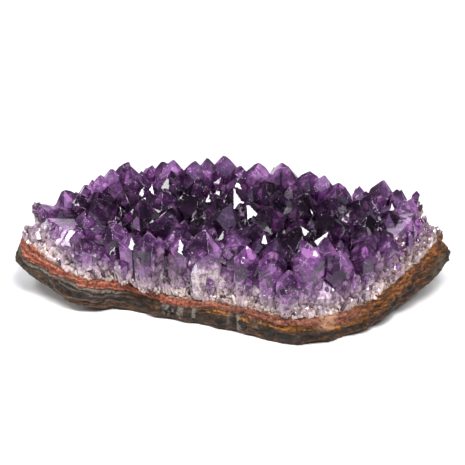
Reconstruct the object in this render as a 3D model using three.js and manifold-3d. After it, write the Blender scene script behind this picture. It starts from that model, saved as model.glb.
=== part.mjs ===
// An amethyst cluster: a slab of geode shell lying rind side down, its upper face crowded with
// quartz points. Two solids: the matrix, which is the banded agate rind, and the crystals, one
// crust of quartz whose columns have all grown into each other. Millimetres, +Z up, the origin
// on the ground under the middle of the piece. The longest side runs along X, the front is -Y.
import * as THREE from "three";
import { mergeVertices } from "three/addons/utils/BufferGeometryUtils.js";
import Module from "manifold-3d";

// Driving dimensions
const MATRIX_THICKNESS = 10.5; // rind and red band together
const END_THICKENING = 2; // what the two ends of the rind add to that
const END_RISE = 12; // how far the curved shell lifts off the ground at its two ends
const BACK_RISE = 6; // and along its back edge
const FLAT_HALF_LENGTH = 32; // the underside is flat this far to each side
const END_CURL_LENGTH = 48; // and curls up over this length beyond
const FLAT_BACK = 12; // it is flat this far towards the back
const BACK_CURL_LENGTH = 30; // and curls up over this depth beyond
const ROLL_ALONG = 0.5; // gentle waves in the rind's upper face
const ROLL_ACROSS = 0.4;
const WALL_SLOPE = 0.55; // the rind's wall slopes in by this share of the ledge above it
const BED_THICKNESS = 13.5; // solid quartz between the rind and the gaps between the points
const BED_INSET = 3; // the columns along the edge stand out this far from it
const TIP_HEIGHT = 34.5; // usual height of a crystal tip above the ground
const END_TIP_DROP = 5; // how much lower the tips are at the two ends
const SHORTEST_POINT = 6; // a tip stands at least this high above the rind
const FACE_SLOPE = THREE.MathUtils.degToRad(51.8); // the end faces of quartz, from level
const LARGE_FACE_SETBACK = [0, 0.1]; // they are cut back by this share of half the width
const SMALL_FACE_SETBACK = [0.06, 0.3]; // and every other one, the small faces, by this
const FOOT_TAPER = 0.8; // a column is this much narrower at its foot
const FOOT_CLEARANCE = 0.6; // and its foot ends this far above the rind
const LEFT_LEDGE = 5; // bare rind outside the crystals at the two ends
const RIGHT_LEDGE = 6.5;
const RIM_LEDGE = 0.8; // and along the front and back
const CHIP_DEPTH = 0.6; // of the scallops along the broken edge
const FINE_CHIPS = 30; // how many of them lie all the way round
const BROAD_CHIPS = 13; // and how many broader ones
const CORE_LENGTH = 0.75; // a smooth ring in the middle, as shares of the whole length and depth,
const CORE_DEPTH = 0.3; // that the layers of the edge are laid out from
const GAP = 0.3; // kept between the two solids
const RIM_STEP = 4; // between the places tried for the crystals along the broken edge
const RIM_CROWDING = 0.36; // how near two of them stand, as a share of their widths together
const RIM_STANDING = 0.42; // how far in from the edge, as a share of the width
const RIM_WIDTH = [7.5, 10.5]; // across the flats
const RIM_SHORTFALL = [4, 9]; // how much lower than usual their tips are
const RIM_LEAN = [1, 8]; // degrees outwards
const ELONGATION = 2.2; // of the slab, which turns the way outwards towards front and back
const GRID_STEP = 2.5; // between the places tried for the crystals of the upper face
const FACE_CROWDING = 0.45;
const LEAST_ROOM = 2.8; // a gap with this much room or more gets a crystal
const NARROWEST_FILLER = 1.5; // its width with no room at all
const WIDTH_PER_ROOM = 2.3; // and how much wider it is for each millimetre of room
const WIDEST_FILLER = 13; // but no wider than this
const USUAL_WIDTH = 9; // wider ones than this stand higher
const HEIGHT_PER_WIDTH = 0.25;
const FILLER_SHORTFALL = [0, 4];
const FILLER_LEAN = [3, 20];
const SEED = 12;

// The broken edge of the slab seen from above, counter-clockwise from the left end
const EDGE = [
  [-80, -4], [-77, -8], [-71, -10.5], [-65, -15.5], [-59, -20], [-51, -21.5], [-42, -17.5],
  [-33, -20.5], [-24, -26], [-10, -31], [1, -35.5], [12, -42], [21, -45.5], [34, -43.5],
  [41, -39.5], [49, -35], [55, -30], [62, -23], [68, -17], [74, -11], [79.5, -4], [80.5, 3],
  [77, 11.5], [70, 19], [63, 23], [53, 26], [44, 30], [33, 36], [21, 40.5], [8, 42.5], [-6, 43.5],
  [-20, 42], [-33, 39.5], [-45, 36], [-56, 30], [-66, 24], [-74, 16], [-79, 6],
];

// The crystals that give the cluster its look: tip x, y and height, width across the flats,
// lean away from upright in degrees and the direction it leans to (0 is +X, 90 is +Y)
const NAMED_CRYSTALS = [
  // front edge, left to right
  [-70.5, 9, 30, 9, 30, 185],
  [-62.5, 16, 32.5, 10, 16, 170],
  [-58.5, -10, 28.5, 10, 6, 215],
  [-49, 3, 35, 13.5, 12, 250],
  [-43, -11, 31.5, 10, 4, 262],
  [-36.5, -16, 30, 9, 2, 265],
  [-29.5, -20, 32, 12, 2, 268],
  [-18, -23.5, 32, 9, 3, 262],
  [-9.5, -24.5, 35, 14, 3, 270],
  [5, -31, 32, 9.5, 3, 262],
  [14, -36, 32, 10.5, 3, 262],
  [26, -36, 35, 12, 2, 275],
  [37.5, -33.5, 31, 10, 4, 285],
  [46.5, -28, 32, 9.5, 6, 300],
  [55, -20, 31, 9.5, 6, 310],
  [62.5, -13, 28, 9, 8, 320],
  [70, 0, 26.5, 9, 12, 345],
  // back edge, left to right
  [-40.5, 31, 37, 14, 8, 110],
  [-49.5, 27, 34, 8.5, 12, 130],
  [-55, 23, 31.8, 8, 14, 140],
  [-45.5, 29.5, 35.5, 8, 10, 120],
  [-32.5, 34.5, 33.8, 9, 10, 110],
  [-26.3, 36.5, 35.6, 8, 8, 100],
  [-22.5, 36, 36.5, 10, 8, 95],
  [-14, 37.5, 35.5, 9.5, 8, 90],
  [-9.6, 38.5, 36.2, 8, 8, 90],
  [-3.5, 37.5, 37.5, 11, 10, 80],
  [3, 38.5, 33, 9, 10, 90],
  [10, 36.5, 35, 9.5, 12, 60],
  [18.5, 34, 36, 13.5, 6, 85],
  [29, 27.5, 35.5, 13, 8, 60],
  [34.3, 25, 34.8, 8, 8, 60],
  [39.5, 21.5, 33.2, 10, 10, 55],
  [48.5, 17, 31.3, 8.5, 10, 60],
  [55.8, 16, 36.5, 9.5, 6, 350],
  [61, 17, 32.5, 8.5, 12, 40],
  [66.5, 14, 30.3, 9, 14, 30],
  // the middle
  [-54, -1, 31.5, 7, 10, 270],
  [-39.5, 13, 34, 9, 12, 200],
  [-33, 1, 35.5, 15, 10, 300],
  [-24, 22, 35, 9.5, 12, 240],
  [-23, -7, 34, 11.5, 14, 20],
  [-14, 8, 34, 11, 10, 330],
  [8.5, -18, 35, 11, 26, 268],
  [15.5, 8, 34.5, 11, 24, 262],
  [24.5, 0, 35, 10.5, 14, 300],
  [36.5, -14, 34.5, 14, 28, 285],
  [35.5, 1, 35.5, 11.5, 24, 255],
  [49, -9, 34, 8.5, 10, 330],
  [46, 2, 34.5, 9.5, 20, 270],
];

const wasm = await Module();
wasm.setup();

// A repeatable random number from 0 to 1
function seededRandom(seed) {
  let state = seed;
  return () => {
    state = (state * 1664525 + 1013904223) % 4294967296;
    return state / 4294967296;
  };
}

// A random number from low to high
function within([low, high], random) {
  return low + (high - low) * random();
}

// The underside of the rind: flat in the middle, curling up at the ends and the back
function undersideHeight(x, y) {
  const end = Math.max(0, Math.abs(x) - FLAT_HALF_LENGTH) / END_CURL_LENGTH;
  const back = Math.max(0, y - FLAT_BACK) / BACK_CURL_LENGTH;
  return END_RISE * end ** 2 + BACK_RISE * back ** 1.5;
}

// Where the rind ends and the quartz begins
function rindTop(x, y) {
  const end = Math.abs(x / 70) ** 2;
  const roll = ROLL_ALONG * Math.sin(x / 9 + 1) + ROLL_ACROSS * Math.sin(y / 7 + x / 23);
  return undersideHeight(x, y) + MATRIX_THICKNESS + END_THICKENING * end + roll;
}

const edgeCurve = new THREE.CatmullRomCurve3(
  EDGE.map(([x, y]) => new THREE.Vector3(x, y, 0)),
  true,
  "centripetal",
);

// The core ring is the edge smoothed over a tenth of its length and drawn in
function corePoint(share) {
  const mean = new THREE.Vector3();
  const steps = [-0.05, -0.025, 0, 0.025, 0.05];
  steps.forEach((step) => mean.add(edgeCurve.getPointAt((share + step + 1) % 1)));
  return mean.multiply(new THREE.Vector3(CORE_LENGTH, CORE_DEPTH, 0)).divideScalar(steps.length);
}

// The width of bare rind outside the crystals at a point of the edge
function ledgeWidth(x) {
  const towardsEnd = Math.min(1, Math.abs(x) / 80) ** 6;
  return RIM_LEDGE + (x < 0 ? LEFT_LEDGE : RIGHT_LEDGE) * towardsEnd;
}

// How deep the break has chipped in at a place along the edge, which changes with the layer
function chipDepth(share, layer) {
  const turn = 2 * Math.PI * share;
  const fine = Math.sin(FINE_CHIPS * turn + layer);
  const broad = Math.sin(BROAD_CHIPS * turn - 1.6 * layer);
  return CHIP_DEPTH * (fine + 0.7 * broad);
}

// A point of the edge, share of the way round, moved in towards the core by inset millimetres
function edgePoint(share, inset) {
  const p = edgeCurve.getPointAt(share);
  return p.add(corePoint(share).sub(p).setLength(inset));
}

// The same for the edge of the quartz
function crustEdgePoint(share, inset = 0) {
  return edgePoint(share, inset + ledgeWidth(edgePoint(share, 0).x));
}

// A closed lump: the profile, rows of [spread, inset, height], is turned once round. A spread of
// 0 is the middle, 1 the core, and 2 the point that atEdge(share, inset, height) gives.
// heightAt(x, y, height) is how high each point lies
function turnedLump(profile, around, atEdge, heightAt) {
  const points = profile.map(([spread, , height]) => new THREE.Vector2(spread, height));
  const lathe = new THREE.LatheGeometry(points, around);
  const position = lathe.getAttribute("position");
  for (let i = 0; i < position.count; i++) {
    const share = (Math.floor(i / profile.length) % around) / around;
    const [spread, inset, height] = profile[i % profile.length];
    const { x, y } =
      spread < 2
        ? corePoint(share).multiplyScalar(spread)
        : atEdge(share, inset, height);
    position.setXYZ(i, x, y, heightAt(x, y, height));
  }
  return toSolid(lathe);
}

// A three.js geometry as a manifold solid, turned the right way out
function toSolid(geometry) {
  const bare = geometry.clone();
  bare.deleteAttribute("normal");
  bare.deleteAttribute("uv");
  const merged = mergeVertices(bare, 1e-4);
  const corners = merged.index.array;
  const kept = [];
  for (let i = 0; i < corners.length; i += 3) {
    const [a, b, c] = corners.slice(i, i + 3);
    if (a !== b && b !== c && a !== c) kept.push(a, b, c);
  }
  const build = (triVerts) =>
    new wasm.Manifold(
      new wasm.Mesh({
        numProp: 3,
        vertProperties: new Float32Array(merged.attributes.position.array),
        triVerts: new Uint32Array(triVerts),
      }),
    );
  const made = build(kept);
  return made.volume() > 0 ? made : build(kept.reverse());
}

// The rind: its wall bulges at the dark agate, has a groove under the red band and slopes in
const RIND_PROFILE = [
  [0, 0, 0], [0.5, 0, 0], [1, 0, 0], [2, 5, 0], [2, 1.3, 0.02], [2, 0.2, 0.16], [2, 0, 0.4],
  [2, 0.6, 0.53], [2, 0.3, 0.72], [2, 0.9, 1], [2, 7, 1], [1, 0, 1], [0, 0, 1],
];
// The same upper face carried on past the edge, for cutting the quartz off level there
const WIDE_PROFILE = [
  [0, 0, 0.5], [2, 0, 0.5], [2, -2, 1], [2, 0.9, 1], [2, 7, 1], [1, 0, 1], [0, 0, 1],
];

function rindSolid(profile) {
  const atEdge = (share, inset, height) => {
    const slope = WALL_SLOPE * height * ledgeWidth(edgePoint(share, 0).x);
    return edgePoint(share, inset + slope + chipDepth(share, 4 * height));
  };
  return turnedLump(profile, 64, atEdge, (x, y, height) =>
    THREE.MathUtils.lerp(undersideHeight(x, y), rindTop(x, y), height),
  );
}

// The solid quartz under the points. Its foot reaches into the rind, which cuts it
function quartzBed() {
  const profile = [[0, 0, -0.1], [2, 1, -0.1], [2, 0, 0.35], [2, 4, 0.8], [1, 0, 1], [0, 0, 1]];
  const atEdge = (share, inset) => crustEdgePoint(share, BED_INSET + inset);
  return turnedLump(profile, 30, atEdge, (x, y, height) => rindTop(x, y) + BED_THICKNESS * height);
}

// One quartz point: a six-sided column under three large faces and three smaller ones.
// Its tip is at the origin and it hangs down local -Z
function crystalSolid(width, length, random) {
  const apothem = width / 2;
  const radius = apothem / Math.cos(Math.PI / 6);
  const column = new THREE.CylinderGeometry(radius, radius * FOOT_TAPER, length, 6)
    .translate(0, -length / 2, 0)
    .rotateX(Math.PI / 2)
    .rotateZ(Math.PI / 6);
  let solid = toSolid(column);
  for (let face = 0; face < 6; face++) {
    const turn = (face * Math.PI) / 3;
    const setBack = within(face % 2 ? SMALL_FACE_SETBACK : LARGE_FACE_SETBACK, random);
    const normal = [
      Math.sin(FACE_SLOPE) * Math.cos(turn),
      Math.sin(FACE_SLOPE) * Math.sin(turn),
      Math.cos(FACE_SLOPE),
    ];
    solid = solid.trimByPlane(normal.map((n) => -n), -setBack * apothem);
  }
  return solid;
}

// The highest the rind reaches under a foot of this radius
function rindUnder(foot, radius) {
  const aside = [[1, 0], [0, 1], [-1, 0], [0, -1]];
  return Math.max(...aside.map(([x, y]) => rindTop(foot.x + radius * x, foot.y + radius * y)));
}

// The same crystal standing in the cluster
function standingCrystal([x, y, z, width, lean, towards], random) {
  const leanAngle = THREE.MathUtils.degToRad(lean);
  const heading = THREE.MathUtils.degToRad(towards);
  const axis = new THREE.Vector3(
    Math.sin(leanAngle) * Math.cos(heading),
    Math.sin(leanAngle) * Math.sin(heading),
    Math.cos(leanAngle),
  );
  const upright = new THREE.Vector3(0, 0, 1);
  const spin = new THREE.Quaternion().setFromAxisAngle(upright, random() * 2 * Math.PI);
  const tilt = new THREE.Quaternion().setFromUnitVectors(upright, axis);
  const foot = new THREE.Vector3(x, y, z).addScaledVector(axis, (rindTop(x, y) - z) / axis.z);
  const footHeight = rindUnder(foot, width / 2) + FOOT_CLEARANCE + (width / 2) * Math.sin(leanAngle);
  const matrix = new THREE.Matrix4().compose(
    new THREE.Vector3(x, y, z),
    tilt.multiply(spin),
    new THREE.Vector3(1, 1, 1),
  );
  return crystalSolid(width, (z - footHeight) / axis.z, random).transform(matrix.elements);
}

// How far inside the crust's edge a point lies, negative outside
const crustEdge = Array.from({ length: 240 }, (_, i) => crustEdgePoint(i / 240));
function depthInside(x, y) {
  let inside = false;
  let nearest = Infinity;
  crustEdge.forEach((a, i) => {
    const b = crustEdge[(i + 1) % crustEdge.length];
    nearest = Math.min(nearest, Math.hypot(a.x - x, a.y - y));
    if (a.y > y !== b.y > y && x < a.x + ((y - a.y) * (b.x - a.x)) / (b.y - a.y)) inside = !inside;
  });
  return inside ? nearest : -nearest;
}

// The tip height over a point of the slab, given how much this crystal falls short of the usual
function tipHeight(x, y, shortfall) {
  const end = Math.max(0, Math.abs(x) - 52) / 20;
  const usual = TIP_HEIGHT - END_TIP_DROP * end ** 1.5;
  return Math.max(usual - shortfall, rindTop(x, y) + SHORTEST_POINT);
}

// How far a point is from the nearest of the crystals, each taken as crowding times its width
function roomAt(crystals, x, y, crowding) {
  return Math.min(...crystals.map((c) => Math.hypot(c[0] - x, c[1] - y) - crowding * c[3]));
}

// A row along the broken edge, leaning outwards a little
function addRimCrystals(crystals, random) {
  const count = Math.round(edgeCurve.getLength() / RIM_STEP);
  for (let i = 0; i < count; i++) {
    const width = within(RIM_WIDTH, random);
    const { x, y } = crustEdgePoint((i + 0.4 * random()) / count, RIM_STANDING * width);
    const z = tipHeight(x, y, within(RIM_SHORTFALL, random));
    const lean = within(RIM_LEAN, random);
    const outwards = THREE.MathUtils.radToDeg(Math.atan2(y * ELONGATION, x));
    if (roomAt(crystals, x, y, RIM_CROWDING) > RIM_CROWDING * width)
      crystals.push([x, y, z, width, lean, outwards]);
  }
}

// The upper face: the next crystal always grows where there is most room left
function fillUpperFace(crystals, random) {
  const places = [];
  for (let x = -80; x <= 80; x += GRID_STEP)
    for (let y = -48; y <= 45; y += GRID_STEP) if (depthInside(x, y) > 4) places.push([x, y]);
  for (;;) {
    const rooms = places.map(([x, y]) => roomAt(crystals, x, y, FACE_CROWDING));
    const room = Math.max(...rooms);
    if (room < LEAST_ROOM) return;
    const [x, y] = places[rooms.indexOf(room)].map((v) => v + random() - 0.5);
    const width = Math.min(WIDEST_FILLER, WIDTH_PER_ROOM * room + NARROWEST_FILLER);
    const extra = HEIGHT_PER_WIDTH * (width - USUAL_WIDTH);
    const z = tipHeight(x, y, within(FILLER_SHORTFALL, random) - extra);
    crystals.push([x, y, z, width, within(FILLER_LEAN, random), 360 * random()]);
  }
}

// The quartz stands on the rind, so its underside is the rind's own upper face, and none of it
// hangs over the rim below that. Only its outer surface is kept, without the small voids closed
// off between columns
function crystalCrust(matrix) {
  const random = seededRandom(SEED);
  const crystals = [...NAMED_CRYSTALS];
  addRimCrystals(crystals, random);
  fillUpperFace(crystals, random);
  const pieces = crystals.map((c) => standingCrystal(c, random));
  const grown = wasm.Manifold.union([quartzBed(), ...pieces]);
  const below = matrix.add(rindSolid(WIDE_PROFILE)).translate(0, 0, GAP);
  const surfaces = grown.subtract(below).decompose();
  return surfaces.reduce((a, b) => (a.volume() > b.volume() ? a : b));
}

// A manifold solid as a named mesh
function namedMesh(name, solid, material) {
  const mesh = solid.getMesh();
  const geometry = new THREE.BufferGeometry()
    .setAttribute("position", new THREE.BufferAttribute(mesh.vertProperties, 3))
    .setIndex(new THREE.BufferAttribute(mesh.triVerts, 1));
  const made = new THREE.Mesh(geometry, material);
  made.name = name;
  return made;
}

const agate = new THREE.MeshStandardMaterial({ color: 0x5d4a3f, roughness: 0.75, metalness: 0 });
const amethyst = new THREE.MeshStandardMaterial({ color: 0x5b3478, roughness: 0.12, metalness: 0 });

// Both are moved level, so that the origin is under the middle of the matrix
const matrix = rindSolid(RIND_PROFILE);
const { min, max } = matrix.boundingBox();
const toMiddle = [-(min[0] + max[0]) / 2, -(min[1] + max[1]) / 2, 0];
const cluster = new THREE.Group();
cluster.add(namedMesh("matrix", matrix.translate(toMiddle), agate));
cluster.add(namedMesh("crystals", crystalCrust(matrix).translate(toMiddle), amethyst));

export default cluster;
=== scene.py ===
import math
import random

import bmesh
import bpy
import numpy as np
from mathutils import Matrix, Vector, noise
from mathutils.bvhtree import BVHTree
from mathutils.kdtree import KDTree


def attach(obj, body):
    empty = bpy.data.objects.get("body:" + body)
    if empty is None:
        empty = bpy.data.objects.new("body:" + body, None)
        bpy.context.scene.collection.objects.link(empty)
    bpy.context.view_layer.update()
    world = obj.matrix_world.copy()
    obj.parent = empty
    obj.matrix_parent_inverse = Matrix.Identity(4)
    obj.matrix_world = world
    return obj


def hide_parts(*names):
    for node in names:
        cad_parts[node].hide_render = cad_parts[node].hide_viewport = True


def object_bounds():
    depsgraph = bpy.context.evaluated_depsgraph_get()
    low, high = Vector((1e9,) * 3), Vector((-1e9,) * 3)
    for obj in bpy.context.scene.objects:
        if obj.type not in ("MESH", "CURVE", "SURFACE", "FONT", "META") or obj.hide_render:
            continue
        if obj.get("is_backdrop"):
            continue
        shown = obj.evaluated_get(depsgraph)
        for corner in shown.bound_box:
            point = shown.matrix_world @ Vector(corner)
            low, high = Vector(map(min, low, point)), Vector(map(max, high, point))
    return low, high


MM = 0.001

# The shell's own shape, in millimetres, as the solids have it
MIDDLE_X = 0.287
MIDDLE_Y = 0.933
MATRIX_THICKNESS = 10.5
END_THICKENING = 2
END_RISE = 12
BACK_RISE = 6
FLAT_HALF_LENGTH = 32
END_CURL_LENGTH = 48
FLAT_BACK = 12
BACK_CURL_LENGTH = 30

# The camera stands where the photo was taken from
PHOTO_SIZE = 465
CAMERA_ELEVATION = math.radians(25)
CAMERA_DISTANCE = 0.75
CAMERA_LENS = 158.6
SENSOR_WIDTH = 36
SUBJECT = Vector((MIDDLE_X * MM, MIDDLE_Y * MM, 0.018))
SUBJECT_ROW = 244.5

# The rind's mesh
RIND_VOXEL = 0.6 * MM
RIND_SMOOTHING = 2

# The rind's relief, longer along the layers: how wide and how high each kind is, in millimetres
RELIEF_FLATTENING = (0.55, 0.55, 1.4)
BROAD_SIZE, BROAD_HEIGHT = 8, 0.4
CHIP_SIZE, CHIP_HEIGHT = 2.6, 0.6
CRAG_SIZE, CRAG_HEIGHT = 2.4, 0.3
PIT_SIZE, PIT_DEPTH = 1.5, 1.1
STEP_SIZE, STEP_HEIGHT = 7, 0.14
GRIT_SIZE, GRIT_HEIGHT = 0.85, 0.18

# A quartz point's shape, in shares of its radius or width
POINT_STEEPNESS = 1.1
TIP_WANDER = 0.08
SHOULDER_OFFSETS = (-0.12, 0.28)
SHOULDER_WANDER = 0.16
FOOT_TAPER = 0.85
LEAST_SHAFT = 0.3

# Points in the valleys. Reach and stride are in steps of the height map, lean is in degrees.
SEED = 7
MAP_STEP = 1.4 * MM
VALLEY_STRIDE = 3
VALLEY_REACH = 4
VALLEY_LEAST_CELLS = 40
VALLEY_LEAST_DEPTH = 5.2 * MM
VALLEY_WIDTH = (4 * MM, 7.6 * MM)
VALLEY_LEAN = (2, 26)
VALLEY_RISE = (0.3, 0.72)
VALLEY_ROOT = 2.5 * MM

# Points on the flanks, with lengths in shares of their width
FLANK_POINTS = 45
FLANK_LOWEST = 8 * MM
FLANK_SLOPES = (-0.2, 0.75)
FLANK_WIDTH = (2.2 * MM, 4.5 * MM)
FLANK_TILT = (0.25, 0.8)
FLANK_WANDER = 0.25
FLANK_OUT = (0.35, 0.9)
FLANK_SHIFT = 0.15
FLANK_ROOT = 1.2

# Columns along the outer wall. The rise is in millimetres.
SHAFT_TRIES = 420
SHAFT_BAND = (1 * MM, 9 * MM)
SHAFT_FACING = 0.4
SHAFT_WIDTH = (2.4 * MM, 6 * MM)
SHAFT_RISE = (2, 7)
SHAFT_ROOM = 0.6
SHAFT_LEAN = 0.08
SHAFT_FLARE = 0.12
SHAFT_INSET = (0.1, 0.3)

# Grains at the foot of the wall, with lengths in shares of their width
GRAINS = 3600
GRAIN_SIDES = 5
GRAIN_LOWEST = -0.5 * MM
GRAIN_BAND = 6.5 * MM
GRAIN_BAND_SHARE, GRAIN_BAND_SWING = 0.75, 1.7
GRAIN_PATCH = 7 * MM
GRAIN_STEEPEST = 0.6
GRAIN_WIDTH = (0.5 * MM, 1.6 * MM)
GRAIN_LEAST_SIZE, GRAIN_GROWTH = 0.75, 0.5
GRAIN_TILT = (0.2, 0.7)
GRAIN_UPRIGHT = (0.5, 1.5)
GRAIN_WANDER = 0.25
GRAIN_OUT = (0.2, 1.7)
GRAIN_ROOT = 0.9

# Small points on the bare ledge before the wall. The margin is in millimetres.
LEDGE_TRIES = 17000
LEDGE_FACING = 0.5
LEDGE_MARGIN = 0.8
LEDGE_RISE = 5.2 * MM
LEDGE_SLOPE = 1.1
LEDGE_PATCH = 4 * MM
LEDGE_SWING = 1.3
FOOT_WIDTH = (0.6 * MM, 1.7 * MM)
FOOT_TILT = (0, 0.45)
FOOT_WANDER = 0.35
FOOT_SHARE = (0.25, 1)
FOOT_LEAST, FOOT_MOST = 0.3, 3.2
FOOT_ROOT = 0.4

# Depth counts for more than length in telling which way is outwards, as the slab is long
ELONGATION = 2.2
# Neighbours that turn less than this are parts of one flat face
FLAT_ANGLE = math.radians(1.5)

# The stage
FLOOR_WHITE = (0.76, 0.76, 0.76)
FLOOR_FRONT = (0.52, 0.52, 0.52)
FRONT_OFFSET = 0.14
FRONT_WIDENING = 0.6
FRONT_EDGE = (0.12, 0.06)
WORLD_STRENGTH = 0.14
# Name, azimuth and elevation in degrees, distance, size, power in watts and colour
LIGHTS = [
    ("key", 12, 54, 0.8, (0.29, 0.25), 7.6, (1, 1, 1)),
    ("window", -60, 54, 0.8, (0.18, 0.16), 2.8, (1, 1, 1)),
    ("overhead", 0, 80, 0.9, (0.9, 0.5), 2, (0.72, 0.67, 1)),
    ("left", -75, 30, 0.8, (0.16, 0.3), 2.2, (1, 1, 1)),
    ("right", 42, 44, 0.8, (0.16, 0.15), 2.6, (1, 1, 1)),
    ("back", 165, 42, 0.9, (0.5, 0.4), 1.8, (1, 1, 1)),
]

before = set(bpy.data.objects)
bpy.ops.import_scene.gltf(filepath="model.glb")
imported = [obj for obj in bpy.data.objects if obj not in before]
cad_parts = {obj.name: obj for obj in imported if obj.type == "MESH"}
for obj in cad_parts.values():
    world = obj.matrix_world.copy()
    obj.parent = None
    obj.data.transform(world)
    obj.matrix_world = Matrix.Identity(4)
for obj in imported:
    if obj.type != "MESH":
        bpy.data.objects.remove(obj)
CAD_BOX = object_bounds()


def underside_height(x, y):
    """The shell's underside in millimetres, from a place in metres."""
    x = np.asarray(x) / MM - MIDDLE_X
    y = np.asarray(y) / MM - MIDDLE_Y
    end = np.maximum(0, np.abs(x) - FLAT_HALF_LENGTH) / END_CURL_LENGTH
    back = np.maximum(0, y - FLAT_BACK) / BACK_CURL_LENGTH
    return END_RISE * end**2 + BACK_RISE * back**1.5


def rind_thickness(x, y):
    """How thick the rind is there, in millimetres."""
    x = np.asarray(x) / MM - MIDDLE_X
    y = np.asarray(y) / MM - MIDDLE_Y
    roll = 0.5 * np.sin(x / 9 + 1) + 0.4 * np.sin(y / 7 + x / 23)
    return MATRIX_THICKNESS + END_THICKENING * (x / 70) ** 2 + roll


def rind_top(x, y):
    """Where the quartz begins, in metres."""
    return (underside_height(x, y) + rind_thickness(x, y)) * MM


def above_rind(place):
    """How far a place is above the rind's top, in metres."""
    return place.z - float(rind_top(place.x, place.y))


def outwards_from(place):
    """The level direction from the slab's middle past a place."""
    return Vector((place.x, place.y * ELONGATION, 0)).normalized()


def vertex_array(mesh):
    co = np.empty(len(mesh.vertices) * 3, np.float32)
    mesh.vertices.foreach_get("co", co)
    return co.reshape(-1, 3).astype(float)


def set_vertices(mesh, co):
    mesh.vertices.foreach_set("co", np.asarray(co, np.float32).ravel())
    mesh.update()


def add_attribute(mesh, name, values, domain="POINT"):
    attribute = mesh.attributes.new(name, "FLOAT", domain)
    attribute.data.foreach_set("value", np.asarray(values, np.float32))


def new_object(name, mesh):
    made = bpy.data.objects.new(name, mesh)
    bpy.context.scene.collection.objects.link(made)
    return made


def closed_copy(node, name):
    """A CAD node's mesh as a new object, with the vertices that its faces share merged."""
    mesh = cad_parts[node].data.copy()
    mesh.name = name
    mesh.materials.clear()
    mesh.attributes.remove(mesh.attributes["custom_normal"])
    made = bmesh.new()
    made.from_mesh(mesh)
    bmesh.ops.remove_doubles(made, verts=made.verts, dist=1e-6)
    made.to_mesh(mesh)
    made.free()
    return new_object(name, mesh)


def apply_modifiers(piece):
    depsgraph = bpy.context.evaluated_depsgraph_get()
    mesh = bpy.data.meshes.new_from_object(piece.evaluated_get(depsgraph))
    old = piece.data
    piece.modifiers.clear()
    piece.data = mesh
    bpy.data.meshes.remove(old)


# The rind


def rind_displacement(p, layer):
    """How far a point of the rind moves along its normal, in millimetres."""
    place = Vector(p) / MM
    flat = Vector([at * share for at, share in zip(place, RELIEF_FLATTENING)])
    wall = min(1, max(0, layer * 6))
    broad = noise.noise(place / BROAD_SIZE)
    chips = noise.voronoi(flat / CHIP_SIZE)[0][0] - 0.45
    crags = noise.fractal(flat / CRAG_SIZE, 0.75, 2.1, 5)
    pits = max(0, noise.noise(flat / PIT_SIZE) - 0.12)
    steps = math.sin(layer * 17 + 2.5 * noise.noise(flat / STEP_SIZE))
    grit = noise.noise(place / GRIT_SIZE)
    rough = BROAD_HEIGHT * broad + CHIP_HEIGHT * chips + CRAG_HEIGHT * (1 + wall) * crags
    return rough - PIT_DEPTH * wall * pits + STEP_HEIGHT * wall * steps + GRIT_HEIGHT * grit


def make_rind():
    """The shell with a fine mesh, rough relief and its layers, 0 below and 1 where quartz begins."""
    rind = closed_copy("matrix", "rind")
    remesh = rind.modifiers.new("remesh", "REMESH")
    remesh.mode = "VOXEL"
    remesh.voxel_size = RIND_VOXEL
    smooth = rind.modifiers.new("smooth", "SMOOTH")
    smooth.iterations = RIND_SMOOTHING
    smooth.factor = 0.5
    apply_modifiers(rind)
    mesh = rind.data
    co = vertex_array(mesh)
    normals = np.array([v.normal[:] for v in mesh.vertices])
    under = underside_height(co[:, 0], co[:, 1])
    layer = (co[:, 2] / MM - under) / rind_thickness(co[:, 0], co[:, 1])
    moves = [rind_displacement(Vector(p), h) for p, h in zip(co, layer)]
    moved = co + normals * (np.array(moves) * MM)[:, None]
    moved[:, 2] = np.maximum(moved[:, 2], 0)
    set_vertices(mesh, moved)
    add_attribute(mesh, "layer", layer)
    mesh.shade_smooth()
    return rind


# Quartz points


def quartz_point(tip, axis, width, length, rng, sides=6):
    """Vertices and faces of a column with an uneven point."""
    axis = Vector(axis).normalized()
    turn = Matrix.Rotation(rng.random() * math.tau, 3, "Z")
    stand = axis.to_track_quat("Z", "Y").to_matrix() @ turn
    radius = width / math.sqrt(3)
    drop = radius * POINT_STEEPNESS
    aside_x = rng.uniform(-TIP_WANDER, TIP_WANDER) * width
    aside_y = rng.uniform(-TIP_WANDER, TIP_WANDER) * width
    shoulders, feet = [], []
    for k in range(sides):
        angle = k * math.tau / sides
        corner = Vector((radius * math.cos(angle), radius * math.sin(angle), 0))
        low = drop * (1 + SHOULDER_OFFSETS[k % 2] + rng.uniform(-SHOULDER_WANDER, SHOULDER_WANDER))
        shoulders.append(corner + Vector((0, 0, -low)))
        feet.append(corner * FOOT_TAPER + Vector((0, 0, -max(length, low + LEAST_SHAFT * width))))
    points = [Vector((aside_x, aside_y, 0))] + shoulders + feet
    vertices = [Vector(tip) + stand @ p for p in points]
    faces = [tuple(range(2 * sides, sides, -1))]
    for k in range(sides):
        after = (k + 1) % sides
        faces.append((0, 1 + k, 1 + after))
        faces.append((1 + k, 1 + sides + k, 1 + sides + after, 1 + after))
    return vertices, faces


def joined_points(name, points):
    """All of the points as one mesh, each with a random shade from 0 to 1."""
    vertices, faces, shades = [], [], []
    for some, theirs in points:
        start = len(vertices)
        vertices += some
        faces += [tuple(start + i for i in face) for face in theirs]
        shades += [noise.random()] * len(some)
    mesh = bpy.data.meshes.new(name)
    mesh.from_pydata([tuple(v) for v in vertices], [], faces)
    made = bmesh.new()
    made.from_mesh(mesh)
    bmesh.ops.recalc_face_normals(made, faces=made.faces)
    made.to_mesh(mesh)
    made.free()
    add_attribute(mesh, "shade", shades)
    return new_object(name, mesh)


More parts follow.
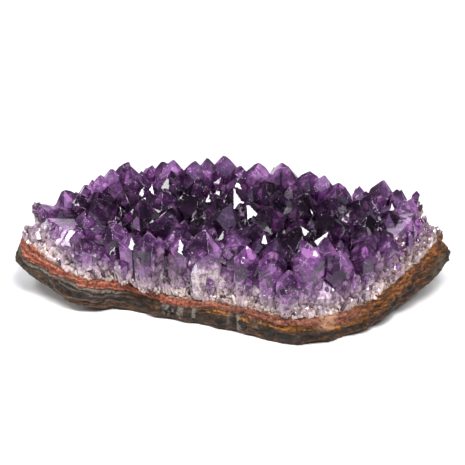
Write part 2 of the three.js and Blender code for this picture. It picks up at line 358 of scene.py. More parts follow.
def height_map(tree):
    """Heights of the crust seen from above, on a grid and only where it lies."""
    low, high = CAD_BOX
    heights = {}
    for i in range(int((high[0] - low[0]) / MAP_STEP) + 1):
        for j in range(int((high[1] - low[1]) / MAP_STEP) + 1):
            x, y = low[0] + i * MAP_STEP, low[1] + j * MAP_STEP
            hit = tree.ray_cast(Vector((x, y, 0.1)), Vector((0, 0, -1)))[0]
            if hit is not None:
                heights[i, j] = (x, y, hit.z)
    return heights


def inside_distances(heights, places):
    """How far each place is inside the crust's outline seen from above, in millimetres."""
    edge = []
    for (i, j), (x, y, _) in heights.items():
        if any(beside not in heights for beside in ((i - 1, j), (i + 1, j), (i, j - 1), (i, j + 1))):
            edge.append((x, y, 0))
    nearest = KDTree(len(edge))
    for k, place in enumerate(edge):
        nearest.insert(place, k)
    nearest.balance()
    low = CAD_BOX[0]
    distances = []
    for x, y, _ in places:
        cell = (round((x - low[0]) / MAP_STEP), round((y - low[1]) / MAP_STEP))
        distances.append(nearest.find((x, y, 0))[2] / MM if cell in heights else 0)
    return distances


def valley_points(heights, rng):
    """Smaller points that fill the valleys between the large ones."""
    steps = range(-VALLEY_REACH, VALLEY_REACH + 1)
    around = [(a, b) for a in steps for b in steps if a * a + b * b <= VALLEY_REACH**2]
    made = []
    for (i, j), (x, y, z) in heights.items():
        if i % VALLEY_STRIDE or j % VALLEY_STRIDE:
            continue
        near = [heights[i + a, j + b][2] for a, b in around if (i + a, j + b) in heights]
        depth = max(near) - z
        if depth < VALLEY_LEAST_DEPTH or len(near) < VALLEY_LEAST_CELLS:
            continue
        place = Vector((x, y, z)) + Vector((rng.uniform(-1, 1), rng.uniform(-1, 1), 0)) * MM
        lean = math.radians(rng.uniform(*VALLEY_LEAN))
        way = rng.random() * math.tau
        axis = Vector((math.sin(lean) * math.cos(way), math.sin(lean) * math.sin(way), math.cos(lean)))
        rise = depth * rng.uniform(*VALLEY_RISE)
        width = rng.uniform(*VALLEY_WIDTH)
        made.append(quartz_point(place + axis * rise, axis, width, rise + VALLEY_ROOT, rng))
    return made


def surface_samples(mesh, wanted, count, rng):
    """Random places on the triangles that wanted(centre, normal) picks, spread by area."""
    mesh.calc_loop_triangles()
    picked = [t for t in mesh.loop_triangles if wanted(Vector(t.center), t.normal)]
    chosen = rng.choices(picked, [t.area for t in picked], k=count)
    for triangle in chosen:
        a, b, c = (mesh.vertices[i].co for i in triangle.vertices)
        u, v = rng.random(), rng.random()
        if u + v > 1:
            u, v = 1 - u, 1 - v
        yield a + (b - a) * u + (c - a) * v, triangle.normal


def flank_points(mesh, rng):
    """Little points that sit on the sides of the large ones."""

    def wanted(centre, normal):
        return above_rind(centre) > FLANK_LOWEST and FLANK_SLOPES[0] < normal.z < FLANK_SLOPES[1]

    made = []
    for place, normal in surface_samples(mesh, wanted, FLANK_POINTS, rng):
        width = rng.uniform(*FLANK_WIDTH)
        axis = normal * rng.uniform(*FLANK_TILT) + Vector((0, 0, 1))
        axis = (axis + noise.random_vector() * FLANK_WANDER).normalized()
        out = width * rng.uniform(*FLANK_OUT)
        tip = place + axis * out + normal * width * FLANK_SHIFT
        made.append(quartz_point(tip, axis, width, out + FLANK_ROOT * width, rng))
    return made


def shaft_points(mesh, rng):
    """Columns along the crust's outer wall, from its foot up."""

    def wanted(centre, normal):
        within = SHAFT_BAND[0] < above_rind(centre) < SHAFT_BAND[1]
        return within and normal.dot(outwards_from(centre)) > SHAFT_FACING

    made, kept = [], []
    for place, normal in surface_samples(mesh, wanted, SHAFT_TRIES, rng):
        width = rng.uniform(*SHAFT_WIDTH)
        rise = rng.uniform(*SHAFT_RISE) * MM
        room = SHAFT_ROOM * (width + SHAFT_WIDTH[0])
        if any((place - other).to_2d().length < room for other in kept):
            continue
        kept.append(place)
        level = Vector((normal.x, normal.y, 0)).normalized()
        lean_x = rng.uniform(-SHAFT_LEAN, SHAFT_LEAN)
        lean_y = rng.uniform(-SHAFT_LEAN, SHAFT_LEAN)
        axis = (Vector((lean_x, lean_y, 1)) + level * SHAFT_FLARE).normalized()
        tip = place + axis * rise - level * width * rng.uniform(*SHAFT_INSET)
        made.append(quartz_point(tip, axis, width, rise + above_rind(place), rng))
    return made


def grain(place, normal, size, rng):
    """One grain of quartz, pointing out and up from the surface it sits on."""
    width = rng.uniform(*GRAIN_WIDTH) * size
    axis = normal * rng.uniform(*GRAIN_TILT) + Vector((0, 0, rng.uniform(*GRAIN_UPRIGHT)))
    axis = (axis + noise.random_vector() * GRAIN_WANDER).normalized()
    out = width * rng.uniform(*GRAIN_OUT)
    return quartz_point(place + axis * out, axis, width, out + GRAIN_ROOT * width, rng, GRAIN_SIDES)


def foot_point(place, outwards, gap, rng):
    """A small point on the ledge, taller the nearer it stands to the wall."""
    width = rng.uniform(*FOOT_WIDTH)
    axis = Vector((0, 0, 1)) + outwards * rng.uniform(*FOOT_TILT)
    axis = (axis + noise.random_vector() * FOOT_WANDER).normalized()
    uneven = 1 + LEDGE_SWING * noise.noise(place / LEDGE_PATCH)
    rise = (LEDGE_RISE * uneven - gap * LEDGE_SLOPE) * rng.uniform(*FOOT_SHARE)
    rise = min(max(FOOT_LEAST * width, rise), FOOT_MOST * width)
    return quartz_point(place + axis * rise, axis, width, rise + FOOT_ROOT * width, rng, GRAIN_SIDES)


def wall_grains(crust, rng):
    """The granular quartz at the foot of the wall, in a band of uneven height."""

    def wanted(centre, normal):
        swing = GRAIN_BAND_SWING * noise.noise(centre / GRAIN_PATCH)
        band = GRAIN_BAND * (GRAIN_BAND_SHARE + swing)
        return GRAIN_LOWEST < above_rind(centre) < band and abs(normal.z) < GRAIN_STEEPEST

    made = []
    for place, normal in surface_samples(crust, wanted, GRAINS, rng):
        size = GRAIN_LEAST_SIZE + GRAIN_GROWTH * above_rind(place) / GRAIN_BAND
        made.append(grain(place, normal, size, rng))
    return made


def ledge_points(tree, shell, rng):
    """Small points on the shell's top where no crust lies further out."""

    def wanted(centre, normal):
        return normal.z > LEDGE_FACING and above_rind(centre) > -LEDGE_MARGIN * MM

    made = []
    for place, _ in surface_samples(shell, wanted, LEDGE_TRIES, rng):
        outwards = outwards_from(place)
        eye = place + Vector((0, 0, 1)) * LEDGE_MARGIN * MM
        if tree.ray_cast(eye, outwards)[0] is None:
            gap = tree.ray_cast(eye, -outwards)[3] or 0
            made.append(foot_point(place, outwards, gap, rng))
    return made


def united(pieces):
    """One clean surface around all of the pieces, joined two by two."""
    while len(pieces) > 1:
        joined = []
        for a, b in zip(pieces[::2], pieces[1::2]):
            boolean = a.modifiers.new("join", "BOOLEAN")
            boolean.operation = "UNION"
            boolean.solver = "MANIFOLD"
            boolean.object = b
            joined.append(a)
        for a, b in zip(pieces[::2], pieces[1::2]):
            apply_modifiers(a)
            bpy.data.objects.remove(b)
        if len(pieces) % 2:
            joined.append(pieces[-1])
        pieces = joined
    return pieces[0]


def add_height_attribute(piece):
    """The height of each vertex above the rind's top, in millimetres."""
    co = vertex_array(piece.data)
    add_attribute(piece.data, "above", co[:, 2] / MM - rind_top(co[:, 0], co[:, 1]) / MM)


def flat_faces(made):
    """Which flat face of the crystals each polygon is a part of."""
    groups = {}
    for start in made.faces:
        if start in groups:
            continue
        groups[start] = start.index
        stack = [start]
        while stack:
            for edge in stack.pop().edges:
                for face in edge.link_faces:
                    if face not in groups and edge.calc_face_angle(math.pi) < FLAT_ANGLE:
                        groups[face] = start.index
                        stack.append(face)
    return groups


def tip_above(vertex):
    """The tip that the edges lead up to from a vertex."""
    while True:
        best = max((edge.other_vert(vertex) for edge in vertex.link_edges), key=lambda v: v.co.z)
        if best.co.z <= vertex.co.z:
            return vertex
        vertex = best


def add_crystal_attributes(piece, rng):
    """A random shade for each flat face, which the amethyst uses as painted light, and for each crystal a
    tone and the distance from its tip.
    """
    made = bmesh.new()
    made.from_mesh(piece.data)
    groups = flat_faces(made)
    highest = {}
    for face, group in groups.items():
        vertex = max(face.verts, key=lambda v: v.co.z)
        if group not in highest or vertex.co.z > highest[group].co.z:
            highest[group] = vertex
    tips = {group: tip_above(vertex) for group, vertex in highest.items()}
    # Painted light: each flat face gets a random brightness, for the light it passes on from behind.
    shade = {group: rng.random() for group in highest}
    tone = {tip: rng.random() for tip in tips.values()}
    corners = {"painted_facet_light": [], "tone": [], "drop": []}
    for face in made.faces:
        group = groups[face]
        for vertex in face.verts:
            corners["painted_facet_light"].append(shade[group])
            corners["tone"].append(tone[tips[group]])
            corners["drop"].append((vertex.co - tips[group].co).length / MM)
    for name, values in corners.items():
        add_attribute(piece.data, name, values, "CORNER")
    made.free()


def make_crystals():
    """The crust with its smaller points in one mesh, and the grains in another."""
    rng = random.Random(SEED)
    noise.seed_set(SEED)
    crust = closed_copy("crystals", "crystal_points")
    tree = BVHTree.FromObject(crust, bpy.context.evaluated_depsgraph_get())
    heights = height_map(tree)
    extra = valley_points(heights, rng)
    extra += flank_points(crust.data, rng)
    extra += shaft_points(crust.data, rng)
    pieces = [joined_points(f"point_{k}", [point]) for k, point in enumerate(extra)]
    whole = united([*pieces, crust])
    whole.name = "crystal_points"
    whole.data.shade_flat()
    tree = BVHTree.FromObject(whole, bpy.context.evaluated_depsgraph_get())
    small = wall_grains(whole.data, rng)
    small += ledge_points(tree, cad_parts["matrix"].data, rng)
    grains = joined_points("quartz_grains", small)
    add_height_attribute(whole)
    add_attribute(whole.data, "inside", inside_distances(heights, vertex_array(whole.data)))
    add_crystal_attributes(whole, rng)
    add_height_attribute(grains)
    return whole, grains


# Materials. A ramp is a list of places from 0 to 1, each with its colour.

SHADER_SAMPLES = 4
QUARTZ_IOR = 1.544

SLATE = [(0.4, (0.004, 0.003, 0.002)), (0.5, (0.016, 0.01, 0.007)), (0.64, (0.066, 0.045, 0.032))]
RUST = [(0.42, (0.007, 0.004, 0.002)), (0.5, (0.085, 0.03, 0.008)), (0.61, (0.42, 0.135, 0.018))]
OLIVE = [(0.4, (0.01, 0.008, 0.005)), (0.65, (0.1, 0.075, 0.04))]
RED_STRIPES = [
    (0.0, (0.09, 0.028, 0.016)),
    (0.15, (0.32, 0.066, 0.032)),
    (0.4, (0.42, 0.105, 0.056)),
    (0.58, (0.44, 0.2, 0.125)),
    (0.68, (0.14, 0.036, 0.02)),
    (0.9, (0.31, 0.074, 0.038)),
    (1.0, (0.09, 0.028, 0.016)),
]
DULL_RED = [(0.4, (0.04, 0.018, 0.01)), (0.5, (0.18, 0.058, 0.035)), (0.62, (0.34, 0.15, 0.1))]
ORANGE = [(0.35, (0.08, 0.03, 0.008)), (0.5, (0.3, 0.11, 0.015)), (0.62, (0.5, 0.2, 0.03))]
MILK = [(0.35, (0.07, 0.04, 0.03)), (0.46, (0.26, 0.19, 0.16)), (0.6, (0.44, 0.37, 0.33))]
AGATE_GREY = (0.16, 0.14, 0.13)
PALE_LINE = (0.3, 0.25, 0.2)
PALE_VEIN = (0.36, 0.32, 0.28)
PEACH = (0.5, 0.27, 0.16)
DUST = (0.25, 0.175, 0.115)
CREVICE = (0.012, 0.008, 0.006)

AMETHYST = [
    (0.0, (0.44, 0.35, 0.37)),
    (0.1, (0.37, 0.255, 0.35)),
    (0.22, (0.21, 0.112, 0.23)),
    (0.42, (0.13, 0.046, 0.158)),
    (0.7, (0.115, 0.033, 0.145)),
    (1.0, (0.1, 0.026, 0.13)),
]
PAINTED_LIGHT_PURPLE = (0.27, 0.11, 0.31)
VEIL = (0.5, 0.36, 0.5)
# Painted inner reflection colour
PAINTED_INNER_GLOW = (0.48, 0.17, 0.5)
CRACK = (0.7, 0.5, 0.68)
WHITE_STREAK = (0.66, 0.56, 0.6)
DARK_GAP = (0.09, 0.04, 0.08)
PAINTED_LIGHT_LILAC = (0.24, 0.17, 0.26)
# Painted glint colour
PAINTED_GLINT = (0.8, 0.68, 0.78)
DARK_PATCH_AND_SHADE = (0.02, 0.006, 0.026)
ABSORPTION = (0.66, 0.24, 0.62, 1)
ABSORPTION_DENSITY = 65

GRAINS_BY_HEIGHT = [(0.0, (0.84, 0.73, 0.66)), (0.22, (0.58, 0.46, 0.51)), (0.6, (0.27, 0.155, 0.28))]
GRAIN_TINTS = [
    (0.0, (0.28, 0.2, 0.24)),
    (0.22, (0.74, 0.64, 0.7)),
    (0.6, (1, 1, 1)),
    (1.0, (0.72, 0.58, 0.74)),
]
STAIN = (0.32, 0.21, 0.17)
DARK_GRAIN = (0.075, 0.045, 0.06)


class Shader:
    """A node material with short calls for what the materials below need."""

    def __init__(self, name):
        self.material = bpy.data.materials.new(name)
        self.material.use_nodes = True
        self.tree = self.material.node_tree
        self.surface = self.tree.nodes["Principled BSDF"]
        self.output = self.tree.nodes["Material Output"]
        self.place = self.tree.nodes.new("ShaderNodeTexCoord").outputs["Object"]

    def link(self, source, target):
        if isinstance(source, (int, float)):
            target.default_value = source
        elif isinstance(source, tuple):
            target.default_value = (*source, 1)
        else:
            self.tree.links.new(source, target)

    def along(self):
        """The place along the slab's length, in millimetres."""
        parts = self.tree.nodes.new("ShaderNodeSeparateXYZ")
        self.link(self.place, parts.inputs[0])
        return self.math("MULTIPLY", parts.outputs["X"], 1 / MM)

    def attribute(self, name):
        node = self.tree.nodes.new("ShaderNodeAttribute")
        node.attribute_name = name
        return node.outputs["Fac"]

    def mapping(self, scale):
        node = self.tree.nodes.new("ShaderNodeMapping")
        self.link(self.place, node.inputs["Vector"])
        node.inputs["Scale"].default_value = scale
        return node.outputs["Vector"]

    def noise(self, size, detail=4.0, rough=0.55, stretch=(1, 1, 1), offset=0.0, distortion=0.0):
        """Fractal noise from 0 to 1 whose broadest waves are size metres long."""
        node = self.tree.nodes.new("ShaderNodeTexNoise")
        node.inputs["Scale"].default_value = 1 / size
        node.inputs["Detail"].default_value = detail
        node.inputs["Roughness"].default_value = rough
        node.inputs["Distortion"].default_value = distortion
        vector = self.mapping(tuple(1 / s for s in stretch))
        if offset:
            moved = self.tree.nodes.new("ShaderNodeVectorMath")
            self.link(vector, moved.inputs[0])
            moved.inputs[1].default_value = (offset, offset, offset)
            vector = moved.outputs[0]
        self.link(vector, node.inputs["Vector"])
        return node.outputs["Fac"]

    def cells(self, size, feature="F1"):
        """The outputs of a pattern of cells about size metres across."""
        node = self.tree.nodes.new("ShaderNodeTexVoronoi")
        node.feature = feature
        node.inputs["Scale"].default_value = 1 / size
        self.link(self.mapping((1, 1, 1)), node.inputs["Vector"])
        return node.outputs

    def shades(self, size):
        """A random value from 0 to 1 in each cell."""
        parts = self.tree.nodes.new("ShaderNodeSeparateColor")
        self.link(self.cells(size)["Color"], parts.inputs[0])
        return parts.outputs[0]

    def math(self, operation, a, b=0.0, c=None, clamp=False):
        node = self.tree.nodes.new("ShaderNodeMath")
        node.operation = operation
        node.use_clamp = clamp
        self.link(a, node.inputs[0])
        self.link(b, node.inputs[1])
        if c is not None:
            self.link(c, node.inputs[2])
        return node.outputs[0]

    def times(self, a, b):
        return self.math("MULTIPLY", a, b)

    def scaled(self, value, factor, offset):
        """The value times a factor, plus an offset."""
        return self.math("MULTIPLY_ADD", value, factor, offset)

    def part(self, value, low, high):
        """0 at low and beyond it, 1 at high and beyond it. Low may be the larger."""
        node = self.tree.nodes.new("ShaderNodeMapRange")
        node.interpolation_type = "SMOOTHSTEP"
        self.link(value, node.inputs["Value"])
        node.inputs["From Min"].default_value = low
        node.inputs["From Max"].default_value = high
        return node.outputs["Result"]

    def band(self, value, low, high, soft):
        """1 between low and high, 0 outside."""
        rise = self.part(value, low - soft, low + soft)
        fall = self.part(value, high - soft, high + soft)
        return self.math("SUBTRACT", rise, fall, clamp=True)

    def ramp(self, value, stops):
        """Colours at places from 0 to 1."""
        node = self.tree.nodes.new("ShaderNodeValToRGB")
        self.link(value, node.inputs["Fac"])
        elements = node.color_ramp.elements
        while len(elements) < len(stops):
            elements.new(1.0)
        for element, (place, colour) in zip(elements, stops):
            element.position = place
            element.color = (*colour, 1)
        return node.outputs["Color"]

    def mix(self, share, first, second, blend="MIX"):
        """The first colour where share is 0, the second where it is 1."""
        node = self.tree.nodes.new("ShaderNodeMix")
        node.data_type = "RGBA"
        node.blend_type = blend
        colours = [socket for socket in node.inputs if socket.type == "RGBA"]
        self.link(share, node.inputs["Factor"])
        self.link(first, colours[0])
        self.link(second, colours[1])
        return next(socket for socket in node.outputs if socket.type == "RGBA")

    def dim(self, colour, brightness):
        """The colour times a brightness."""
        grey = self.tree.nodes.new("ShaderNodeCombineColor")
        for socket in grey.inputs:
            self.link(brightness, socket)
        return self.mix(1.0, colour, grey.outputs[0], "MULTIPLY")

    def openness(self, distance):
        """1 in the open, less in a gap that is narrower than distance metres."""
        node = self.tree.nodes.new("ShaderNodeAmbientOcclusion")
        node.only_local = True
        node.samples = SHADER_SAMPLES
        node.inputs["Distance"].default_value = distance
        return node.outputs["AO"]

    def bump(self, height, distance, edge=0.0):
        """Relief from a height, with the mesh's own edges rounded by edge metres."""
        node = self.tree.nodes.new("ShaderNodeBump")
        if edge:
            rounded = self.tree.nodes.new("ShaderNodeBevel")
            rounded.samples = SHADER_SAMPLES
            rounded.inputs["Radius"].default_value = edge
            self.link(rounded.outputs["Normal"], node.inputs["Normal"])
        self.link(height, node.inputs["Height"])
        node.inputs["Distance"].default_value = distance
        self.link(node.outputs["Normal"], self.surface.inputs["Normal"])

    def set(self, socket, value):
        """A value for the surface, all over when it is a number."""
        self.link(value, self.surface.inputs[socket])


def lower_rind(s, layer, along, grit, waves, rust, rightwards):
    """Charcoal and slate, with agate lines on the left, rust in spots and olive at both ends."""
    rind = s.ramp(s.noise(3.2 * MM, detail=8, rough=0.75, stretch=(1.5, 1.5, 0.7)), SLATE)
    lines = s.math("SINE", s.scaled(waves, 14, s.times(layer, 34)))
    lines = s.times(s.part(lines, 0.5, 0.95), s.part(along, -28, -48))
    rind = s.mix(s.times(lines, 0.5), rind, AGATE_GREY)
    spots = s.noise(4 * MM, detail=6, rough=0.75, stretch=(2, 2, 0.7), offset=9.7)
    spots = s.part(s.scaled(rightwards, 0.07, spots), 0.5, 0.58)
    rusty = s.times(spots, s.scaled(rightwards, 0.6, 0.4))
    rusty = s.times(rusty, s.scaled(s.part(layer, 0.22, 0.46), 0.7, 0.3))
    lowest = s.times(s.part(layer, 0.3, 0.12), s.part(grit, 0.44, 0.52))
    rusty = s.math("MAXIMUM", rusty, s.times(lowest, 0.6))
    rind = s.mix(rusty, rind, rust)
    olive = s.ramp(s.noise(3 * MM, detail=6), OLIVE)
    far_end = s.math("MAXIMUM", s.part(along, 70, 76), s.part(along, -66, -74))
    return s.mix(s.times(far_end, 0.75), rind, olive)


def red_band(s, layer, along, grit, rust, rightwards):
    """Stripes of coral, salmon and brick, duller to the right and rusty at that end."""
    fine = s.scaled(s.noise(9 * MM, detail=6, rough=0.6, stretch=(2, 2, 0.5)), 0.5, layer)
    stripes = s.ramp(s.math("FRACT", s.times(fine, 6)), RED_STRIPES)
    dull = s.noise(2.2 * MM, detail=8, rough=0.75, stretch=(2.4, 2.4, 0.5), offset=5.3)
    band = s.mix(s.scaled(s.part(along, 5, -35), 0.6, 0.25), s.ramp(dull, DULL_RED), stripes)
    band = s.dim(band, s.scaled(s.part(grit, 0.38, 0.6), 0.95, 0.42))
    return s.mix(s.times(rightwards, 0.92), band, rust)


def band_edge(s, along):
    """The layer at which the band begins: lowest at the left end, highest from there to the middle."""
    rise = s.part(along, -78, -54)
    fall = s.part(along, 28, 40)
    return s.math("SUBTRACT", s.scaled(rise, 0.16, 0.5), s.times(fall, 0.12))


def with_lines(s, colour, over, along, grit):
    """A gold-orange line under the band right of the middle, and a pale one on the left."""
    line = s.times(s.band(over, -0.16, -0.04, 0.04), s.band(along, -14, 44, 8))
    broken = s.noise(3 * MM, detail=5, rough=0.7, stretch=(2.4, 2.4, 0.6), offset=7.7)
    colour = s.mix(s.times(line, s.part(broken, 0.44, 0.54)), colour, s.ramp(grit, ORANGE))
    line = s.times(s.band(over, -0.12, -0.05, 0.02), s.band(along, -76, -38, 5))
    line = s.times(line, s.part(grit, 0.36, 0.5))
    return s.mix(s.times(line, 0.6), colour, PALE_LINE)


def with_veins(s, colour, layer, over, torn, along, grit):
    """Pale quartz that stands in the rind, and a peach-coloured vein where the front turns back."""
    veins = s.part(s.noise(2.6 * MM, detail=4, stretch=(1, 1, 5), offset=12.3), 0.52, 0.6)
    veined = s.math("MAXIMUM", s.band(along, -25, -12, 2), s.band(along, -1, 8, 2))
    veins = s.times(veins, s.times(veined, s.part(over, 0.0, -0.06)))
    veins = s.times(veins, s.part(layer, 0.08, 0.22))
    colour = s.mix(s.times(veins, 0.4), colour, PALE_VEIN)
    peach = s.times(s.band(along, 31, 36, 2), s.part(torn, 0.4, 0.62))
    peach = s.times(peach, s.part(grit, 0.36, 0.5))
    return s.mix(s.times(peach, 0.8), colour, PEACH)


def rind_material():
    """Dark rind below, a red band above it, lines and veins, and quartz over the top."""
    s = Shader("banded_rind")
    along = s.along()
    waves = s.noise(10 * MM, detail=4, stretch=(1.6, 1.6, 0.8))
    grit = s.noise(1.0 * MM, detail=5, rough=0.7, offset=1.9)
    ragged = s.scaled(s.noise(2.6 * MM, detail=6, rough=0.75, offset=17.0), 0.3, -0.15)
    layer = s.math("ADD", s.attribute("layer"), s.scaled(waves, 0.3, -0.15))
    torn = s.math("ADD", layer, ragged)
    over = s.math("SUBTRACT", torn, band_edge(s, along))
    rightwards = s.part(along, 36, 52)
    rust = s.noise(1.7 * MM, detail=8, rough=0.8, stretch=(2.3, 2.3, 0.6), offset=3.1)
    rust = s.ramp(rust, RUST)
    rind = lower_rind(s, layer, along, grit, waves, rust, rightwards)
    band = red_band(s, layer, along, grit, rust, rightwards)
    colour = s.mix(s.part(over, -0.02, 0.02), rind, band)
    colour = with_lines(s, colour, over, along, grit)
    colour = with_veins(s, colour, layer, over, torn, along, grit)
    colour = s.mix(s.times(s.part(grit, 0.6, 0.7), 0.45), colour, DUST)
    colour = s.mix(s.times(s.part(grit, 0.43, 0.35), 0.8), colour, CREVICE)
    quartz = s.part(s.scaled(ragged, 1.2, layer), 0.93, 0.97)
    s.set("Base Color", s.mix(quartz, colour, s.ramp(grit, MILK)))
    s.set("Roughness", s.scaled(grit, 0.5, 0.25))
    s.set("Specular IOR Level", 0.25)
    fine_grain = s.noise(0.5 * MM, detail=3)
    broad_grain = s.noise(1.8 * MM, detail=6, rough=0.7, stretch=(1.4, 1.4, 0.8), offset=8.8)
    s.bump(s.math("ADD", s.scaled(fine_grain, 0.4, grit), broad_grain), 0.9 * MM)
    return s.material


def purple_height(s, drop, inner, outer, left_end):
    """0 where a crystal is milky, 1 where it is darkest. Each turns purple at its own height."""
    uneven = s.noise(9 * MM, detail=4, rough=0.6, distortion=0.4, stretch=(1, 1, 3))
    height = s.math("ADD", s.attribute("above"), s.scaled(uneven, 14, -6))
    height = s.math("ADD", height, s.scaled(s.attribute("tone"), 8, -2.5))
    height = s.math("ADD", height, s.scaled(inner, 6, -2))
    milky = s.times(s.part(drop, 4, 17), s.scaled(outer, 5.5, 1))
    height = s.math("SUBTRACT", height, milky)
    height = s.math("SUBTRACT", height, s.times(left_end, 7))
    return s.math("MULTIPLY", height, 1 / 20, clamp=True)


def with_flaws(s, colour, painted_reflection_cells, purple):
    """Veils and cracks inside, and bright shards that are painted inner reflections."""
    veils = s.noise(3.2 * MM, detail=6, rough=0.75, offset=4.4, distortion=1.4)
    colour = s.mix(s.times(s.part(veils, 0.55, 0.72), 0.5), colour, VEIL)
    # Painted inner reflections: bright magenta shards where the crystal is purple.
    painted_inner_glow = s.times(s.part(painted_reflection_cells, 0.8, 0.84), purple)
    colour = s.mix(s.times(painted_inner_glow, 0.55), colour, PAINTED_INNER_GLOW)
    cracks = s.part(s.cells(6 * MM, "DISTANCE_TO_EDGE")["Distance"], 0.03, 0.0)
    cracks = s.times(cracks, s.part(veils, 0.46, 0.56))
    return s.mix(s.times(cracks, 0.6), colour, CRACK)


def with_streaks(s, colour, purple):
    """White streaks and dark gaps that run down the milky shafts."""
    streaks = s.noise(2 * MM, detail=5, rough=0.65, stretch=(1, 1, 5), offset=13.3)
    pale_part = s.math("SUBTRACT", 1.0, purple)
    white = s.times(s.part(streaks, 0.56, 0.7), s.times(pale_part, 0.6))
    colour = s.mix(white, colour, WHITE_STREAK)
    gaps = s.times(s.part(streaks, 0.42, 0.3), s.times(pale_part, 0.75))
    return s.mix(gaps, colour, DARK_GAP)


def painted_face_light_and_shade(s, painted_reflection_cells, purple, inside, inner, left_end):
    """Painted light and shade: each face passes on a different part of what is behind it, painted as its
    own brightness, and painted shade darkens the gaps and the middle.
    """
    bright = s.math("SUBTRACT", s.scaled(painted_reflection_cells, 0.35, s.attribute("painted_facet_light")), 0.55)
    bright = s.scaled(s.times(bright, s.scaled(purple, 0.74, 0.16)), 2.7, 1.0)
    mottle = s.part(s.noise(1.9 * MM, detail=6, rough=0.8, offset=15.2), 0.4, 0.62)
    mottle = s.math("SUBTRACT", mottle, 0.5)
    bright = s.scaled(mottle, s.scaled(inner, -0.5, 1.05), bright)
    # Painted shade in gaps narrower than 4 mm, from ambient occlusion.
    bright = s.times(bright, s.part(s.openness(4 * MM), -0.1, 0.75))
    # Painted shade in the middle of the field, where less light comes through.
    bright = s.times(bright, s.scaled(s.part(inside, 9, 19), -0.55, 1.0))
    return s.times(bright, s.scaled(left_end, -0.45, 1.0))


def with_painted_brightness(s, colour, bright, outer):
    """The painted brightness on the colour: the brightest faces are lilac, not vivid, and none in the
    outer row is black.
    """
    colour = s.mix(s.times(s.part(bright, 1.3, 2.4), 0.3), colour, PAINTED_LIGHT_LILAC)
    # Painted light: the outer row never falls below a least brightness.
    least = s.scaled(outer, 0.36, 0.05)
    return s.dim(colour, s.math("MAXIMUM", s.math("MINIMUM", bright, 1.6), least))


def with_dark_patches_and_valley_shade(s, colour, height, drop, inner):
    """Darker patches at random, and painted shade down in the valleys between crystals."""
    dark_patches_and_shade = s.part(s.noise(13 * MM, detail=4, rough=0.6, offset=8.2), 0.46, 0.6)
    # Painted shade low in the valleys, far below each crystal's tip.
    valley_shade = s.times(s.part(drop, 4, 10), s.times(inner, 0.9))
    dark_patches_and_shade = s.times(s.math("MAXIMUM", dark_patches_and_shade, valley_shade), s.part(height, 0.4, 0.75))
    return s.mix(s.times(dark_patches_and_shade, 0.85), colour, DARK_PATCH_AND_SHADE)


def amethyst_material():
    """Clear purple points on milky shafts. Light comes through the outer row, so it is painted brighter.
    """
    s = Shader("amethyst")
    drop = s.attribute("drop")
    inside = s.attribute("inside")
    inner = s.part(inside, 4.5, 10)
    outer = s.math("SUBTRACT", 1.0, inner)
    left_end = s.part(s.along(), -60, -70)
    # Cells that stand for inner reflections, painted as bright shards and brighter faces.
    painted_reflection_cells = s.shades(2.6 * MM)
    height = purple_height(s, drop, inner, outer, left_end)
    purple = s.part(height, 0.15, 0.55)
    # Painted light: the outer row's purple parts are lighter where light comes through.
    painted_light = s.times(outer, s.part(height, 0.3, 0.6))
    colour = s.mix(s.times(painted_light, 0.35), s.ramp(height, AMETHYST), PAINTED_LIGHT_PURPLE)
    colour = with_flaws(s, colour, painted_reflection_cells, purple)
    colour = with_streaks(s, colour, purple)
    bright = painted_face_light_and_shade(s, painted_reflection_cells, purple, inside, inner, left_end)
    colour = with_painted_brightness(s, colour, bright, outer)
    # Painted glints: small near-white specks on the crystals.
    painted_glints = s.part(s.noise(0.9 * MM, detail=3, rough=0.6, offset=21.0), 0.63, 0.69)
    colour = s.mix(s.times(painted_glints, 0.7), colour, PAINTED_GLINT)
    s.set("Base Color", with_dark_patches_and_valley_shade(s, colour, height, drop, inner))
    clear = s.scaled(outer, -0.26, 0.62)
    s.set("Transmission Weight", s.scaled(s.part(height, 0.05, 0.5), clear, 0.2))
    s.set("IOR", QUARTZ_IOR)
    s.set("Specular IOR Level", 0.27)
    s.set("Roughness", s.scaled(s.part(height, 0.0, 0.5), -0.14, 0.16))
    lines = s.noise(0.6 * MM, detail=3, stretch=(6, 6, 0.6), offset=2.7)
    lines = s.times(lines, s.scaled(purple, -0.6, 0.6))
    growth = s.noise(6 * MM, detail=1.5, rough=0.5, offset=6.1)
    s.bump(s.scaled(growth, 1.2, lines), 0.14 * MM, edge=0.22 * MM)
    absorb = s.tree.nodes.new("ShaderNodeVolumeAbsorption")
    absorb.inputs["Color"].default_value = ABSORPTION
    absorb.inputs["Density"].default_value = ABSORPTION_DENSITY
    s.link(absorb.outputs["Volume"], s.output.inputs["Volume"])
    return s.material


def grain_material():
    """Milky grains, more purple with height, stained on the right, with dark ones in patches."""
    s = Shader("milky_quartz")
    shade = s.attribute("shade")
    above = s.attribute("above")
    uneven = s.scaled(s.noise(6 * MM, detail=3), 0.9, -0.5)
    high = s.math("ADD", s.times(above, 1 / 12), uneven, clamp=True)
    stained = s.part(s.along(), 44, 66)
    pale = s.mix(s.times(stained, 0.4), s.ramp(high, GRAINS_BY_HEIGHT), STAIN)
    colour = s.mix(1.0, pale, s.ramp(shade, GRAIN_TINTS), "MULTIPLY")
    patch = s.part(s.noise(9 * MM, detail=4, rough=0.65, offset=6.6), 0.5, 0.6)
    dark = s.times(s.times(patch, s.part(shade, 0.7, 0.45)), 0.75)
    lone = s.times(s.part(shade, 0.1, 0.06), s.part(above, 3.5, 1.5))
    s.set("Base Color", s.mix(s.math("MAXIMUM", dark, lone), colour, DARK_GRAIN))
    s.set("Transmission Weight", 0.4)
    s.set("IOR", QUARTZ_IOR)
    s.set("Roughness", s.scaled(shade, 0.25, 0.08))
    return s.material


# Stage


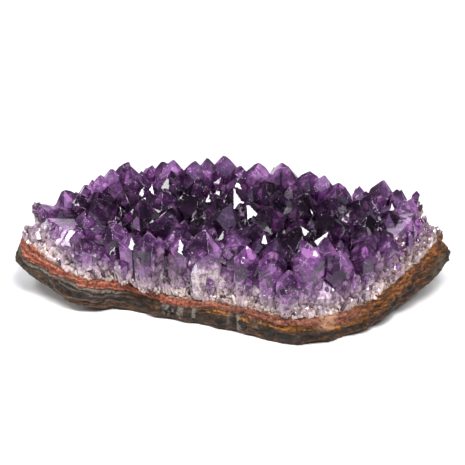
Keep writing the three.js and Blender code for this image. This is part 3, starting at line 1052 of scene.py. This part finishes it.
def make_stage():
    """A white floor, darker in front, where it is lit past white, so that the wall mirrors less of it."""
    bpy.ops.mesh.primitive_plane_add(size=20, location=(0, 0, -0.0002))
    floor = bpy.context.object
    floor.name = "floor"
    s = Shader("floor")
    middle = s.tree.nodes.new("ShaderNodeVectorMath")
    middle.operation = "MULTIPLY_ADD"
    s.link(s.place, middle.inputs[0])
    middle.inputs[1].default_value = (FRONT_WIDENING, 1, 1)
    middle.inputs[2].default_value = (0, FRONT_OFFSET, 0)
    way = s.tree.nodes.new("ShaderNodeVectorMath")
    way.operation = "LENGTH"
    s.link(middle.outputs[0], way.inputs[0])
    front = s.part(way.outputs["Value"], *FRONT_EDGE)
    s.set("Base Color", s.mix(front, FLOOR_WHITE, FLOOR_FRONT))
    s.set("Roughness", 0.9)
    floor.data.materials.append(s.material)
    floor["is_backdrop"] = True


def from_angles(azimuth, elevation):
    a, e = math.radians(azimuth), math.radians(elevation)
    return Vector((math.sin(a) * math.cos(e), -math.cos(a) * math.cos(e), math.sin(e)))


def area_light(name, direction, distance, size, power, colour):
    data = bpy.data.lights.new(name, "AREA")
    data.shape = "RECTANGLE"
    data.size, data.size_y = size
    data.energy = power
    data.color = colour
    light = new_object(name, data)
    way = direction.normalized()
    light.location = SUBJECT + way * distance
    light.rotation_euler = way.to_track_quat("Z", "Y").to_euler()


def make_lights():
    bpy.context.scene.view_settings.view_transform = "Standard"
    world = bpy.data.worlds.new("studio")
    world.use_nodes = True
    bpy.context.scene.world = world
    background = world.node_tree.nodes["Background"]
    background.inputs["Color"].default_value = (1, 1, 1, 1)
    background.inputs["Strength"].default_value = WORLD_STRENGTH
    for name, azimuth, elevation, distance, size, power, colour in LIGHTS:
        area_light(name, from_angles(azimuth, elevation), distance, size, power, colour)


def make_camera():
    data = bpy.data.cameras.new("camera")
    data.lens = CAMERA_LENS
    data.sensor_width = SENSOR_WIDTH
    camera = new_object("camera", data)
    back = Vector((0, -math.cos(CAMERA_ELEVATION), math.sin(CAMERA_ELEVATION)))
    up = Vector((0, math.sin(CAMERA_ELEVATION), math.cos(CAMERA_ELEVATION)))
    focal = CAMERA_LENS / SENSOR_WIDTH * PHOTO_SIZE
    raise_aim = (SUBJECT_ROW - PHOTO_SIZE / 2) * CAMERA_DISTANCE / focal
    camera.location = SUBJECT + back * CAMERA_DISTANCE
    aim = SUBJECT + up * raise_aim
    camera.rotation_euler = (camera.location - aim).to_track_quat("Z", "Y").to_euler()
    bpy.context.scene.camera = camera


make_camera()
make_stage()
make_lights()

rind = make_rind()
rind.data.materials.append(rind_material())
crystals, grains = make_crystals()
for piece, material in ((crystals, amethyst_material()), (grains, grain_material())):
    piece.data.materials.clear()
    piece.data.materials.append(material)
    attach(piece, "root")
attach(rind, "root")
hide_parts("matrix")
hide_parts("crystals")

[[list(corner) for corner in box] for box in (CAD_BOX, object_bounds())]
